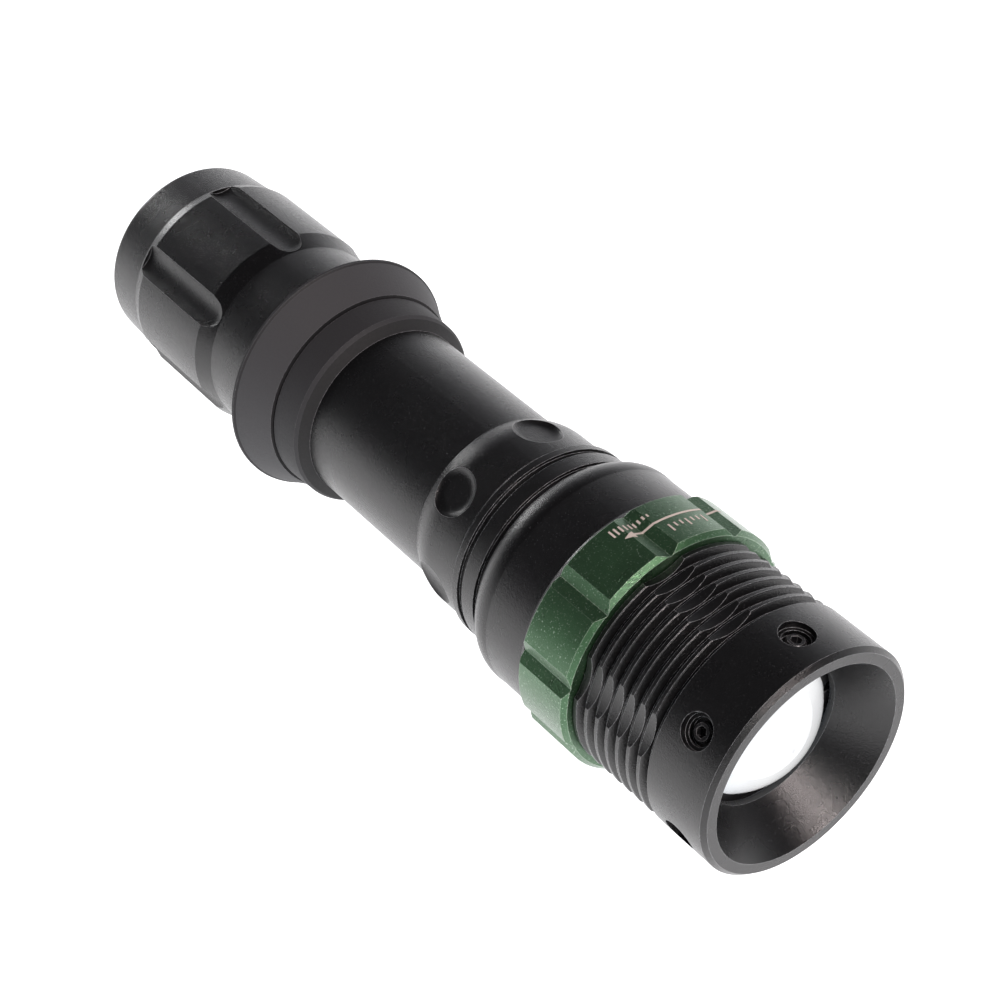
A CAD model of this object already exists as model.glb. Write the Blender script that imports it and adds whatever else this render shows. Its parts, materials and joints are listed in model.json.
import json
from math import cos, pi, radians, sin

import bpy
from mathutils import Matrix, Vector
from mathutils.bvhtree import BVHTree


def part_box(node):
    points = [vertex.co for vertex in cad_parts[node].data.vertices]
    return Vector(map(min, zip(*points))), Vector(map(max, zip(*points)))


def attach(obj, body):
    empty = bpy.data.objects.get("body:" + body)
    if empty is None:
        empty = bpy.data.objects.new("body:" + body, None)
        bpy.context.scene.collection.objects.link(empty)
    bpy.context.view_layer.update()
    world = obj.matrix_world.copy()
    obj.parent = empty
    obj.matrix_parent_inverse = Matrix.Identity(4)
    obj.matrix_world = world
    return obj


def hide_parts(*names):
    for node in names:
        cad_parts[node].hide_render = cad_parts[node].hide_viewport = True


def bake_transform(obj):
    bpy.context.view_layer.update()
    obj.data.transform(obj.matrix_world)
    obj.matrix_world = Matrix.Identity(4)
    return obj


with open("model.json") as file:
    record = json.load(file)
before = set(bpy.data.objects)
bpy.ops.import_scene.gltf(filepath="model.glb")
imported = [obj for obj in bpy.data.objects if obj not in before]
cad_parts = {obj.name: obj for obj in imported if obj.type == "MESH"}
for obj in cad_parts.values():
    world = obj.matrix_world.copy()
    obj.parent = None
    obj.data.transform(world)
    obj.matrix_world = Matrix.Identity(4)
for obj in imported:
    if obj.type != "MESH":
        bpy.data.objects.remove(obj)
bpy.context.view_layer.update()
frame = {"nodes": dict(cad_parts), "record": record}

MM = 0.001

# The torch lies along X with its beam towards +X. Stations are distances in mm behind a datum just
# behind the front rim. Angles about the axis are in degrees from straight up, positive towards -Y.
BEZEL_LOW, BEZEL_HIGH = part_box("bezel")
RIM_FRONT = -0.6
DATUM_X = BEZEL_HIGH.x + RIM_FRONT * MM
AXIS_Z = (BEZEL_LOW.z + BEZEL_HIGH.z) / 2


def on_axis(station_mm):
    """Point on the torch's axis at a station."""
    return Vector((DATUM_X - station_mm * MM, 0, AXIS_Z))


def outward(angle):
    """Unit vector away from the axis at an angle about it."""
    return Vector((0, -sin(radians(angle)), cos(radians(angle))))


# ---- Camera ----

VIEW_AZIMUTH = radians(52.5)
VIEW_ELEVATION = radians(39.725)
VIEW_TURN = radians(-5.5)          # the whole view, turned about the torch's own axis
CAMERA_OFFSET = Vector((126.6, -141.6, 194.6)) * MM   # from the mouth, before that turn
LENS_MM = 83.27
SENSOR_MM = 36
NEAR_CLIP = 0.01


def make_camera():
    forward = Vector((
        -sin(VIEW_AZIMUTH) * cos(VIEW_ELEVATION),
        cos(VIEW_AZIMUTH) * cos(VIEW_ELEVATION),
        -sin(VIEW_ELEVATION),
    ))
    right = Vector((cos(VIEW_AZIMUTH), sin(VIEW_AZIMUTH), 0))
    up = right.cross(forward)
    axes = Matrix((right, up, -forward)).transposed()
    turn = Matrix.Rotation(VIEW_TURN, 3, "X")
    data = bpy.data.cameras.new("camera")
    data.lens = LENS_MM
    data.sensor_width = SENSOR_MM
    data.clip_start = NEAR_CLIP
    camera = bpy.data.objects.new("camera", data)
    place_at = Matrix.Translation(on_axis(0) + turn @ CAMERA_OFFSET)
    camera.matrix_world = place_at @ (turn @ axes).to_4x4()
    bpy.context.collection.objects.link(camera)
    bpy.context.scene.camera = camera


make_camera()


# ---- Node helpers ----

def add(tree, kind, **inputs):
    """Node of a kind, with its sockets set by name. Underscores in a name stand for spaces."""
    node = tree.nodes.new(kind)
    for key, value in inputs.items():
        node.inputs[key.replace("_", " ")].default_value = value
    return node


def place(tree):
    """Coordinates in the part's own metres."""
    node = tree.nodes.get("place") or tree.nodes.new("ShaderNodeTexCoord")
    node.name = "place"
    return node.outputs["Object"]


def noise(tree, scale, detail=2.0, roughness=0.5):
    """Noise in the part's own metres, so the grain keeps its real size."""
    node = add(tree, "ShaderNodeTexNoise", Scale=scale, Detail=detail, Roughness=roughness)
    tree.links.new(place(tree), node.inputs["Vector"])
    return node.outputs["Fac"]


def grey(value):
    return value if isinstance(value, tuple) else (value, value, value, 1)


def ramp(tree, source, *stops):
    """Value or colour that runs through (position, value) stops as source rises."""
    node = tree.nodes.new("ShaderNodeValToRGB")
    elements = node.color_ramp.elements
    elements[0].position, elements[0].color = stops[0][0], grey(stops[0][1])
    elements[1].position, elements[1].color = stops[-1][0], grey(stops[-1][1])
    for position, value in stops[1:-1]:
        elements.new(position).color = grey(value)
    tree.links.new(source, node.inputs["Fac"])
    return node.outputs["Color"]


def maths(tree, operation, first, second=None, third=None):
    node = tree.nodes.new("ShaderNodeMath")
    node.operation = operation
    for socket, value in zip(node.inputs, (first, second, third)):
        if isinstance(value, (int, float)):
            socket.default_value = value
        elif value is not None:
            tree.links.new(value, socket)
    return node.outputs["Value"]


def blended(tree, factor, low, high):
    """Colour that goes from low to high with factor; each may be a colour or a socket."""
    node = tree.nodes.new("ShaderNodeMix")
    node.data_type = "RGBA"
    for socket, value in (("A", low), ("B", high)):
        target = [s for s in node.inputs if s.name == socket and s.type == "RGBA"][0]
        if isinstance(value, tuple):
            target.default_value = value
        else:
            tree.links.new(value, target)
    tree.links.new(factor, [s for s in node.inputs if s.name == "Factor" and s.type == "VALUE"][0])
    return [s for s in node.outputs if s.type == "RGBA"][0]


# ---- Light and floor ----

LIT_STATION = 60


def area_light(name, direction, distance, size, power, colour=(1, 1, 1)):
    """Softbox that faces the middle of the torch from a direction."""
    data = bpy.data.lights.new(name, "AREA")
    data.shape = "RECTANGLE"
    data.size, data.size_y = size
    data.energy = power
    data.color = colour
    light = bpy.data.objects.new(name, data)
    aim = Vector(direction).normalized()
    light.location = on_axis(LIT_STATION) + aim * distance
    light.rotation_euler = aim.to_track_quat("Z", "Y").to_euler()
    bpy.context.collection.objects.link(light)


def make_world():
    """White cove: bright at the horizon behind the torch, falling away to a dark ceiling."""
    world = bpy.data.worlds.new("studio")
    world.use_nodes = True
    tree = world.node_tree
    background = tree.nodes["Background"]
    direction = tree.nodes.new("ShaderNodeTexCoord")
    parts = tree.nodes.new("ShaderNodeSeparateXYZ")
    tree.links.new(direction.outputs["Generated"], parts.inputs["Vector"])
    height = parts.outputs["Z"]
    far = ramp(tree, height, *FAR_WALL)
    near = ramp(tree, height, *NEAR_WALL)
    behind = maths(tree, "MULTIPLY_ADD", parts.outputs["X"], WALL_TURN_X, WALL_OFFSET)
    behind = maths(tree, "MULTIPLY_ADD", parts.outputs["Y"], WALL_TURN_Y, behind)
    side = ramp(tree, behind, (0.0, 0.0), (1.0, 1.0))
    tree.links.new(blended(tree, side, near, far), background.inputs["Color"])
    background.inputs["Strength"].default_value = 1.0
    bpy.context.scene.world = world


FAR_WALL = (
    (0.0, (1.45, 1.45, 1.48, 1)), (0.10, (1.02, 1.02, 1.06, 1)), (0.30, (0.60, 0.60, 0.63, 1)),
    (0.50, (0.27, 0.27, 0.285, 1)), (0.68, (0.085, 0.085, 0.09, 1)), (0.85, (0.045, 0.045, 0.05, 1)),
)
NEAR_WALL = (
    (0.0, (0.20, 0.20, 0.21, 1)), (0.16, (0.12, 0.12, 0.13, 1)), (0.40, (0.085, 0.085, 0.09, 1)),
    (0.64, (0.055, 0.055, 0.06, 1)), (0.85, (0.045, 0.045, 0.05, 1)),
)
WALL_TURN_X, WALL_TURN_Y, WALL_OFFSET = -0.8, 0.9, 0.02    # which way the far wall lies

FLOOR_HALF = 9.0
FLOOR_GLOW = 1.45
FLOOR_GLOW_COLOUR = (0.99, 0.99, 1, 1)
FLOOR_MOTTLE = 3.0
FLOOR_TONES = (0.3, (0.30, 0.30, 0.31, 1)), (0.7, (0.33, 0.33, 0.34, 1))
FLOOR_ROUGHNESS = 0.9


def make_floor():
    material = bpy.data.materials.new("floor_white")
    material.use_nodes = True
    tree = material.node_tree
    shader = tree.nodes["Principled BSDF"]
    mottle = ramp(tree, noise(tree, FLOOR_MOTTLE), *FLOOR_TONES)
    tree.links.new(mottle, shader.inputs["Base Color"])
    shader.inputs["Roughness"].default_value = FLOOR_ROUGHNESS
    shader.inputs["Specular IOR Level"].default_value = 0.0
    shader.inputs["Emission Color"].default_value = FLOOR_GLOW_COLOUR
    shader.inputs["Emission Strength"].default_value = FLOOR_GLOW
    mesh = bpy.data.meshes.new("floor")
    half = FLOOR_HALF
    corners = [(-half, -half, 0), (half, -half, 0), (half, half, 0), (-half, half, 0)]
    mesh.from_pydata(corners, [], [(0, 1, 2, 3)])
    floor = bpy.data.objects.new("floor", mesh)
    floor.data.materials.append(material)
    bpy.context.collection.objects.link(floor)


make_world()
make_floor()
area_light("mouth_softbox", (0.64, 0.03, 0.75), 0.9, (0.13, 0.13), 6.0, (1.0, 0.88, 0.86))
area_light("front_softbox", (0.80, -0.22, 0.55), 1.0, (0.36, 0.36), 1.5, (1.0, 1.0, 0.98))
area_light("rear_softbox", (-0.985, 0.03, 0.17), 1.0, (0.20, 0.20), 1.8)
bpy.context.scene.view_settings.view_transform = "Standard"


# ---- Materials ----

def new_material(name):
    material = bpy.data.materials.new(name)
    material.use_nodes = True
    return material, material.node_tree, material.node_tree.nodes["Principled BSDF"]


def bump(tree, source, strength, distance, under=None):
    node = add(tree, "ShaderNodeBump", Strength=strength, Distance=distance)
    tree.links.new(source, node.inputs["Height"])
    if under:
        tree.links.new(under, node.inputs["Normal"])
    return node.outputs["Normal"]


CHIP_SCALE = 2600
CHIP_STOPS = (0.36, 0.25), (0.62, 1.0)
BLAST_SCALE, SPECK_SCALE, CLOUD_SCALE = 4600, 4800, 140
SPECK_FROM, SPECK_TO = 0.64, 0.80
CLOUD_FROM, CLOUD_TO = 0.3, 0.7
BLAST_DEPTH, FINE_DEPTH, TURNING_DEPTH = 0.00010, 0.00005, 0.00002
EDGE_WIDTH, EDGE_ROUND = 0.10 * MM, 0.08 * MM
BEVEL_SAMPLES = 4


def worn_edge(tree, radius, start, full):
    """1 on the edges of the part and 0 on its faces, broken up by a little noise."""
    wide = add(tree, "ShaderNodeBevel", Radius=radius)
    wide.samples = BEVEL_SAMPLES
    geometry = tree.nodes.new("ShaderNodeNewGeometry")
    align = tree.nodes.new("ShaderNodeVectorMath")
    align.operation = "DOT_PRODUCT"
    tree.links.new(wide.outputs["Normal"], align.inputs[0])
    tree.links.new(geometry.outputs["Normal"], align.inputs[1])
    edge = ramp(tree, align.outputs["Value"], (full, 1.0), (start, 0.0))
    chips = ramp(tree, noise(tree, CHIP_SCALE, 4.0, 0.7), *CHIP_STOPS)
    return maths(tree, "MULTIPLY", edge, chips)


def anodised(name, colour, metallic, roughness, grain, edge_colour, specular, sparkle, coat=0.0):
    """Bead-blasted anodised aluminium: sparkling grain, slight unevenness, brighter worn edges."""
    material, tree, shader = new_material(name)
    shader.inputs["Specular IOR Level"].default_value = specular
    blast = noise(tree, BLAST_SCALE, 3.0, 0.7)
    cloud = noise(tree, CLOUD_SCALE, 4.0, 0.6)
    low, high = (tuple(c * k for c in colour) + (1,) for k in (0.9, 1.12))
    body = ramp(tree, cloud, (CLOUD_FROM, low), (CLOUD_TO, high))
    specks = ramp(tree, noise(tree, SPECK_SCALE, 1.0, 0.4), (SPECK_FROM, 0.0), (SPECK_TO, sparkle))
    body = blended(tree, specks, body, (*edge_colour, 1))
    edge = worn_edge(tree, EDGE_WIDTH, 0.985, 0.90)
    tree.links.new(blended(tree, edge, body, (*edge_colour, 1)), shader.inputs["Base Color"])
    uneven = ramp(tree, cloud, (CLOUD_FROM, roughness * 0.95), (CLOUD_TO, roughness * 1.06))
    tree.links.new(uneven, shader.inputs["Roughness"])
    bare = maths(tree, "MULTIPLY", maths(tree, "SUBTRACT", 1.0, edge), metallic)
    tree.links.new(bare, shader.inputs["Metallic"])
    soft_edge = add(tree, "ShaderNodeBevel", Radius=EDGE_ROUND)
    soft_edge.samples = BEVEL_SAMPLES
    grainy = bump(tree, blast, grain, BLAST_DEPTH, soft_edge.outputs["Normal"])
    tree.links.new(grainy, shader.inputs["Normal"])
    shader.inputs["Coat Weight"].default_value = coat
    shader.inputs["Coat Roughness"].default_value = roughness
    return material


def satin(name, colour, roughness, metallic=0.0, grain=0.2, scale=4000, specular=0.5):
    """Any plain finish: a fine grain and slow changes of tone."""
    material, tree, shader = new_material(name)
    shader.inputs["Metallic"].default_value = metallic
    shader.inputs["Specular IOR Level"].default_value = specular
    fine = noise(tree, scale, 4.0, 0.6)
    cloud = noise(tree, scale / 40, 3.0)
    low, high = (tuple(min(1, c * k) for c in colour) + (1,) for k in (0.85, 1.15))
    body = ramp(tree, cloud, (CLOUD_FROM, low), (CLOUD_TO, high))
    tree.links.new(body, shader.inputs["Base Color"])
    uneven = ramp(tree, fine, (0.25, roughness * 0.9), (0.75, roughness * 1.1))
    tree.links.new(uneven, shader.inputs["Roughness"])
    tree.links.new(bump(tree, fine, grain, FINE_DEPTH), shader.inputs["Normal"])
    return material, tree, shader


def turned_metal(name, colour, roughness):
    """Lathe-turned metal: fine rings about the axis."""
    material, tree, shader = satin(name, colour, roughness, metallic=1.0, grain=0.1)
    rings = add(tree, "ShaderNodeTexWave", Scale=1400.0, Distortion=1.5, Detail=2.0)
    rings.bands_direction = "X"
    tree.links.new(place(tree), rings.inputs["Vector"])
    tree.links.new(bump(tree, rings.outputs["Fac"], 0.35, TURNING_DEPTH), shader.inputs["Normal"])
    return material


GLOW_TURN_Y, GLOW_TURN_Z = 34.0, 22.0    # per metre, so the glow changes from one side to the other
GLOW_STOPS = (
    (0.34, (0.50, 0.66, 0.90, 1)), (0.50, (1.05, 1.08, 1.12, 1)), (0.66, (1.12, 1.12, 1.12, 1)),
    (0.86, (0.70, 0.70, 0.72, 1)),
)
GLOW_SHARE = 0.96
FLAT_BACK = 0.9999       # how squarely a face lies across the axis to count as the lens's back


def glass():
    """Clear dome whose flat back glows with the light that the dome gathers from the white room."""
    material, tree, shader = new_material("lens_clear")
    shader.inputs["Base Color"].default_value = (0.98, 0.99, 1.0, 1)
    shader.inputs["IOR"].default_value = 1.5
    shader.inputs["Transmission Weight"].default_value = 1.0
    smears = ramp(tree, noise(tree, 900, 2.0), (0.3, 0.015), (0.7, 0.03))
    tree.links.new(smears, shader.inputs["Roughness"])
    geometry = tree.nodes.new("ShaderNodeNewGeometry")
    facing = tree.nodes.new("ShaderNodeSeparateXYZ")
    tree.links.new(geometry.outputs["Normal"], facing.inputs["Vector"])
    back = maths(tree, "GREATER_THAN", maths(tree, "ABSOLUTE", facing.outputs["X"]), FLAT_BACK)
    spot = tree.nodes.new("ShaderNodeSeparateXYZ")
    tree.links.new(place(tree), spot.inputs["Vector"])
    across = maths(tree, "MULTIPLY_ADD", spot.outputs["Y"], GLOW_TURN_Y, 0.5 + AXIS_Z * GLOW_TURN_Z)
    across = maths(tree, "MULTIPLY_ADD", spot.outputs["Z"], -GLOW_TURN_Z, across)
    white = tree.nodes.new("ShaderNodeEmission")
    tree.links.new(ramp(tree, across, *GLOW_STOPS), white.inputs["Color"])
    mixed = tree.nodes.new("ShaderNodeMixShader")
    tree.links.new(maths(tree, "MULTIPLY", back, GLOW_SHARE), mixed.inputs[0])
    tree.links.new(shader.outputs["BSDF"], mixed.inputs[1])
    tree.links.new(white.outputs["Emission"], mixed.inputs[2])
    tree.links.new(mixed.outputs["Shader"], tree.nodes["Material Output"].inputs["Surface"])
    return material


def resin():
    """Clear silicone dome over a yellow phosphor."""
    material, tree, shader = satin("led_resin", (0.95, 0.80, 0.25), 0.08, grain=0.05)
    shader.inputs["Transmission Weight"].default_value = 0.55
    shader.inputs["IOR"].default_value = 1.45
    return material


def circuit(name, mask, track):
    """Solder mask over copper tracks."""
    material, tree, shader = satin(name, mask, 0.32, grain=0.1)
    tracks = add(
        tree, "ShaderNodeTexBrick", Scale=420.0, Mortar_Size=0.025, Brick_Width=0.8, Row_Height=0.4,
    )
    turn = add(tree, "ShaderNodeMapping")
    turn.inputs["Rotation"].default_value = (0, pi / 2, 0)
    tree.links.new(place(tree), turn.inputs["Vector"])
    tree.links.new(turn.outputs["Vector"], tracks.inputs["Vector"])
    copper = blended(tree, tracks.outputs["Fac"], (*mask, 1), (*track, 1))
    tree.links.new(copper, shader.inputs["Base Color"])
    return material


def printed_wrap():
    """Shrink wrap of the cell: glossy film with a fine grain."""
    material, tree, shader = satin("cell_wrap", (0.05, 0.16, 0.42), 0.28, grain=0.15, scale=2500)
    shader.inputs["Coat Weight"].default_value = 0.5
    return material


RUBBER_EDGE_WIDTH = 0.14 * MM


def grip_rubber():
    """Grip ring: a dusty flare, and darker rubber on its sides and on the steps that face forwards."""
    dusty = (0.056, 0.056, 0.060, 1)
    rubbed = (0.033, 0.033, 0.036, 1)
    dark = (0.012, 0.012, 0.013, 1)
    edge = (0.16, 0.16, 0.17, 1)
    material, tree, shader = satin(
        "grip_rubber", dusty[:3], 0.66, grain=0.55, scale=3200, specular=0.35,
    )
    geometry = tree.nodes.new("ShaderNodeNewGeometry")
    facing = tree.nodes.new("ShaderNodeSeparateXYZ")
    tree.links.new(geometry.outputs["Normal"], facing.inputs["Vector"])
    tone = ramp(
        tree, facing.outputs["X"],
        (0.08, rubbed), (0.28, dusty), (0.50, dusty), (0.56, rubbed), (0.78, dark),
    )
    body = blended(tree, worn_edge(tree, RUBBER_EDGE_WIDTH, 0.985, 0.88), tone, edge)
    tree.links.new(body, shader.inputs["Base Color"])
    return material


SLOT_MATERIALS = {
    "black_anodised": anodised(
        "black_anodised", (0.004, 0.004, 0.0044), metallic=0.0, roughness=0.27, grain=0.5,
        edge_colour=(0.46, 0.48, 0.50), specular=0.55, sparkle=0.05,
    ),
    "dark_ring": anodised(
        "dark_ring", (0.012, 0.012, 0.013), metallic=0.0, roughness=0.30, grain=0.2,
        edge_colour=(0.30, 0.30, 0.31), specular=0.6, sparkle=0.05,
    ),
    "green_anodised": anodised(
        "green_anodised", (0.049, 0.122, 0.055), metallic=0.85, roughness=0.28, grain=0.7,
        edge_colour=(0.80, 1.0, 0.80), specular=0.5, sparkle=0.45, coat=0.45,
    ),
    "bare_aluminium": turned_metal("bare_aluminium", (0.74, 0.75, 0.77), 0.30),
    "black_steel": anodised(
        "black_steel", (0.008, 0.008, 0.009), metallic=0.2, roughness=0.27, grain=0.15,
        edge_colour=(0.40, 0.40, 0.41), specular=0.7, sparkle=0.05,
    ),
    "bright_steel": satin("bright_steel", (0.60, 0.60, 0.62), 0.22, metallic=1.0, grain=0.08)[0],
    "cell_wrap": printed_wrap(),
    "seal_rubber": satin("seal_rubber", (0.010, 0.010, 0.010), 0.45, grain=0.3)[0],
    "grip_rubber": grip_rubber(),
    "boot_rubber": satin(
        "boot_rubber", (0.022, 0.022, 0.023), 0.62, grain=0.5, scale=3600, specular=0.35,
    )[0],
    "lens_clear": glass(),
    "white_board": satin("white_board", (0.82, 0.82, 0.80), 0.35, grain=0.1)[0],
    "led_resin": resin(),
    "green_board": circuit("green_board", (0.01, 0.09, 0.03), (0.03, 0.20, 0.07)),
    "black_component": satin("black_component", (0.02, 0.02, 0.021), 0.5, grain=0.3)[0],
    "brass": turned_metal("brass", (0.72, 0.50, 0.22), 0.26),
    "lead_red": satin("lead_red", (0.45, 0.02, 0.02), 0.4, grain=0.1)[0],
    "sleeve_plastic": satin("sleeve_plastic", (0.62, 0.62, 0.60), 0.4, grain=0.15)[0],
    "switch_plastic": satin("switch_plastic", (0.025, 0.025, 0.027), 0.42, grain=0.2)[0],
    "stem_plastic": satin("stem_plastic", (0.55, 0.54, 0.50), 0.38, grain=0.1)[0],
}
CREASE = radians(16)
for part in frame["record"]["subparts"]:
    data = frame["nodes"][part["node"]].data
    data.materials.clear()
    data.materials.append(SLOT_MATERIALS[part["material_slot"]])
    data.shade_smooth()
    data.set_sharp_from_angle(angle=CREASE)


# ---- Pieces that the CAD leaves plain ----

def new_piece(name, points, faces, slot_name):
    """Smooth mesh in world coordinates, in one of the record's material slots."""
    mesh = bpy.data.meshes.new(name)
    mesh.from_pydata([tuple(p) for p in points], [], faces)
    mesh.validate()
    mesh.shade_smooth()
    mesh.materials.append(SLOT_MATERIALS[slot_name])
    piece = bpy.data.objects.new(name, mesh)
    bpy.context.collection.objects.link(piece)
    return piece


def tube_faces(count, across, closed=False):
    """Faces of a tube made of count loops of points, with its ends filled or joined."""
    faces = []
    for i in range(count if closed else count - 1):
        here, there = i * across, (i + 1) % count * across
        for j in range(across):
            k = (j + 1) % across
            faces.append((here + j, here + k, there + k, there + j))
    if not closed:
        faces.append(tuple(reversed(range(across))))
        faces.append(tuple(range((count - 1) * across, count * across)))
    return faces


RING = frame["nodes"]["focus_ring"]
RING_SURFACE = BVHTree.FromObject(RING, bpy.context.evaluated_depsgraph_get())
RING_TO_LOCAL = RING.matrix_world.inverted()
PAINT_LIFT = 0.025
SEARCH_R = 25.0          # well outside the ring, where each ray starts


def on_ring(station, angle, lift):
    """Point on the focus ring's own surface, notches included."""
    away = outward(angle)
    start = on_axis(station) + away * SEARCH_R * MM
    turn = RING_TO_LOCAL.to_3x3()
    hit = RING_SURFACE.ray_cast(RING_TO_LOCAL @ start, turn @ -away)[0]
    return RING_TO_LOCAL.inverted() @ hit + away * lift * MM


MARK_STEP = 0.2
LAND_R = 17.45
MARK_WAYS = (-1, -0.5, 0, 0.5, 1)    # across a stroke, from edge to edge


def painted_stroke(path, half_widths):
    """Loops of a thin printed stroke along a path of (station, angle) points on the ring."""
    samples = []
    for (s0, a0), (s1, a1), w0, w1 in zip(path, path[1:], half_widths, half_widths[1:]):
        run = Vector((s1 - s0, radians(a1 - a0) * LAND_R))
        steps = max(1, round(run.length / MARK_STEP))
        normal = Vector((-run.y, run.x)).normalized()
        for i in range(steps + 1):
            t = i / steps
            samples.append((s0 + (s1 - s0) * t, a0 + (a1 - a0) * t, w0 + (w1 - w0) * t, normal))
    loops = []
    for station, angle, half, normal in samples:
        loop = []
        top = [(way, PAINT_LIFT) for way in MARK_WAYS]
        underside = [(way, -PAINT_LIFT) for way in reversed(MARK_WAYS)]
        for way, lift in top + underside:
            side = normal * half * way
            loop.append(on_ring(station + side.x, angle + side.y / LAND_R * 180 / pi, lift))
        loops.append(loop)
    return loops


def painted_marks(strokes):
    """Points and faces of all the strokes, as one mesh."""
    points, faces = [], []
    across = 2 * len(MARK_WAYS)
    for path, widths in strokes:
        loops = painted_stroke(path, widths)
        start = len(points)
        points += [p for loop in loops for p in loop]
        faces += [tuple(start + i for i in face) for face in tube_faces(len(loops), across)]
    return points, faces


ARROW_LINE, ARROW_HEAD, ARROW_TIP = 0.16, 0.62, 0.02     # half widths of its strokes
TICK_HALF = 0.13
REAR_TICKS, REAR_TICKS_AT = 9, 29.35
FRONT_TICKS, FRONT_TICKS_AT = 7, 26.9
LONG_TICK, SHORT_TICK, LONG_TICK_EVERY = 1.35, 0.8, 3


def ring_marks():
    """A turning arrow with graduated ticks on both sides of it, which stand for the ring's printing."""
    paint = satin("mark_paint", (0.60, 0.52, 0.47), 0.6, grain=0.2)[0]
    strokes = [
        (((28.1, -44), (28.0, -6), (28.3, 3.0), (28.3, 3.6)), (ARROW_LINE,) * 4),
        (((28.3, 3.5), (28.35, 8.2)), (ARROW_HEAD, ARROW_TIP)),
    ]
    for k in range(REAR_TICKS):
        reach = 0.5 + 0.1 * k
        angle = -6.5 + 2.1 * k
        path = (REAR_TICKS_AT, angle), (REAR_TICKS_AT + reach, angle)
        strokes.append((path, (TICK_HALF, TICK_HALF)))
    for k in range(FRONT_TICKS):
        reach = LONG_TICK if k % LONG_TICK_EVERY == 0 else SHORT_TICK
        angle = -27 + 2.9 * k
        path = (FRONT_TICKS_AT - reach, angle), (FRONT_TICKS_AT, angle)
        strokes.append((path, (TICK_HALF, TICK_HALF)))
    points, faces = painted_marks(strokes)
    mesh = bpy.data.meshes.new("focus_marks")
    mesh.from_pydata([tuple(p) for p in points], [], faces)
    mesh.materials.append(paint)
    marks = bpy.data.objects.new("focus_marks", mesh)
    bpy.context.collection.objects.link(marks)
    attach(marks, "ring_body")


THREAD_FRONT, THREAD_REAR = 100.1, 109.3
THREAD_PITCH = 1.0
THREAD_STEPS = 72
THREAD_ROOT_R, THREAD_CREST_R = 12.15, 12.74
THREAD_SECTION = ((-0.44, 0), (-0.12, 1), (0.12, 1), (0.44, 0))    # shares of the pitch and of the depth
THREAD_RUN_OUT = 0.35
THREAD_LEAST = 0.02      # share of the depth that is left at its very ends


def rear_thread():
    """Thread on the tube's rear end, with run-outs at both of its ends. It winds left-handed."""
    turns = (THREAD_REAR - THREAD_FRONT) / THREAD_PITCH
    count = round(turns * THREAD_STEPS)
    points = []
    for i in range(count + 1):
        turn = i / THREAD_STEPS
        full = min(1, turn / THREAD_RUN_OUT, (count / THREAD_STEPS - turn) / THREAD_RUN_OUT)
        for along, rise in THREAD_SECTION:
            r = THREAD_ROOT_R + (THREAD_CREST_R - THREAD_ROOT_R) * rise * max(full, THREAD_LEAST)
            station = THREAD_FRONT + turn * THREAD_PITCH + along * THREAD_PITCH
            points.append(on_axis(station) + outward(360 * turn) * r * MM)
    faces = tube_faces(count + 1, len(THREAD_SECTION))
    thread = new_piece("tube_thread", points, faces, "black_anodised")
    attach(thread, "torch_body")


BOOT_STEPS = 96
DOME_STEPS = 14
DOME_EDGE, DOME_RISE, DOME_R = 131.7, 1.48, 6.08


def switch_boot():
    """One-piece rubber boot: clamped flange, raised lip, soft fold and domed crown."""
    profile = [
        (125.6, 6.3), (125.6, 11.5), (126.5, 11.5), (126.5, 6.95), (128.55, 6.95), (128.82, 6.9),
        (128.97, 6.75), (129.0, 6.55), (128.9, 6.38), (128.95, 6.25), (129.2, 6.18), (131.5, 6.12),
    ]
    for i in range(DOME_STEPS):
        t = radians(90 * i / DOME_STEPS)
        profile.append((DOME_EDGE + DOME_RISE * sin(t) ** 0.9, DOME_R * cos(t) ** 0.55))
    inner = [(132.2, 0.4), (131.6, 3.6), (130.9, 5.0), (128.5, 5.25), (126.6, 5.4), (125.6, 6.0)]
    outer = profile + [(133.18, 0.3), (133.18, 0.02), (132.2, 0.02)] + inner
    points = []
    for i in range(BOOT_STEPS):
        away = outward(360 * i / BOOT_STEPS)
        points += [on_axis(station) + away * r * MM for station, r in outer]
    faces = tube_faces(BOOT_STEPS, len(outer), closed=True)
    boot = new_piece("switch_boot", points, faces, "boot_rubber")
    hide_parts("boot_flange", "boot_crown")
    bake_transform(boot)


ring_marks()
rear_thread()
switch_boot()
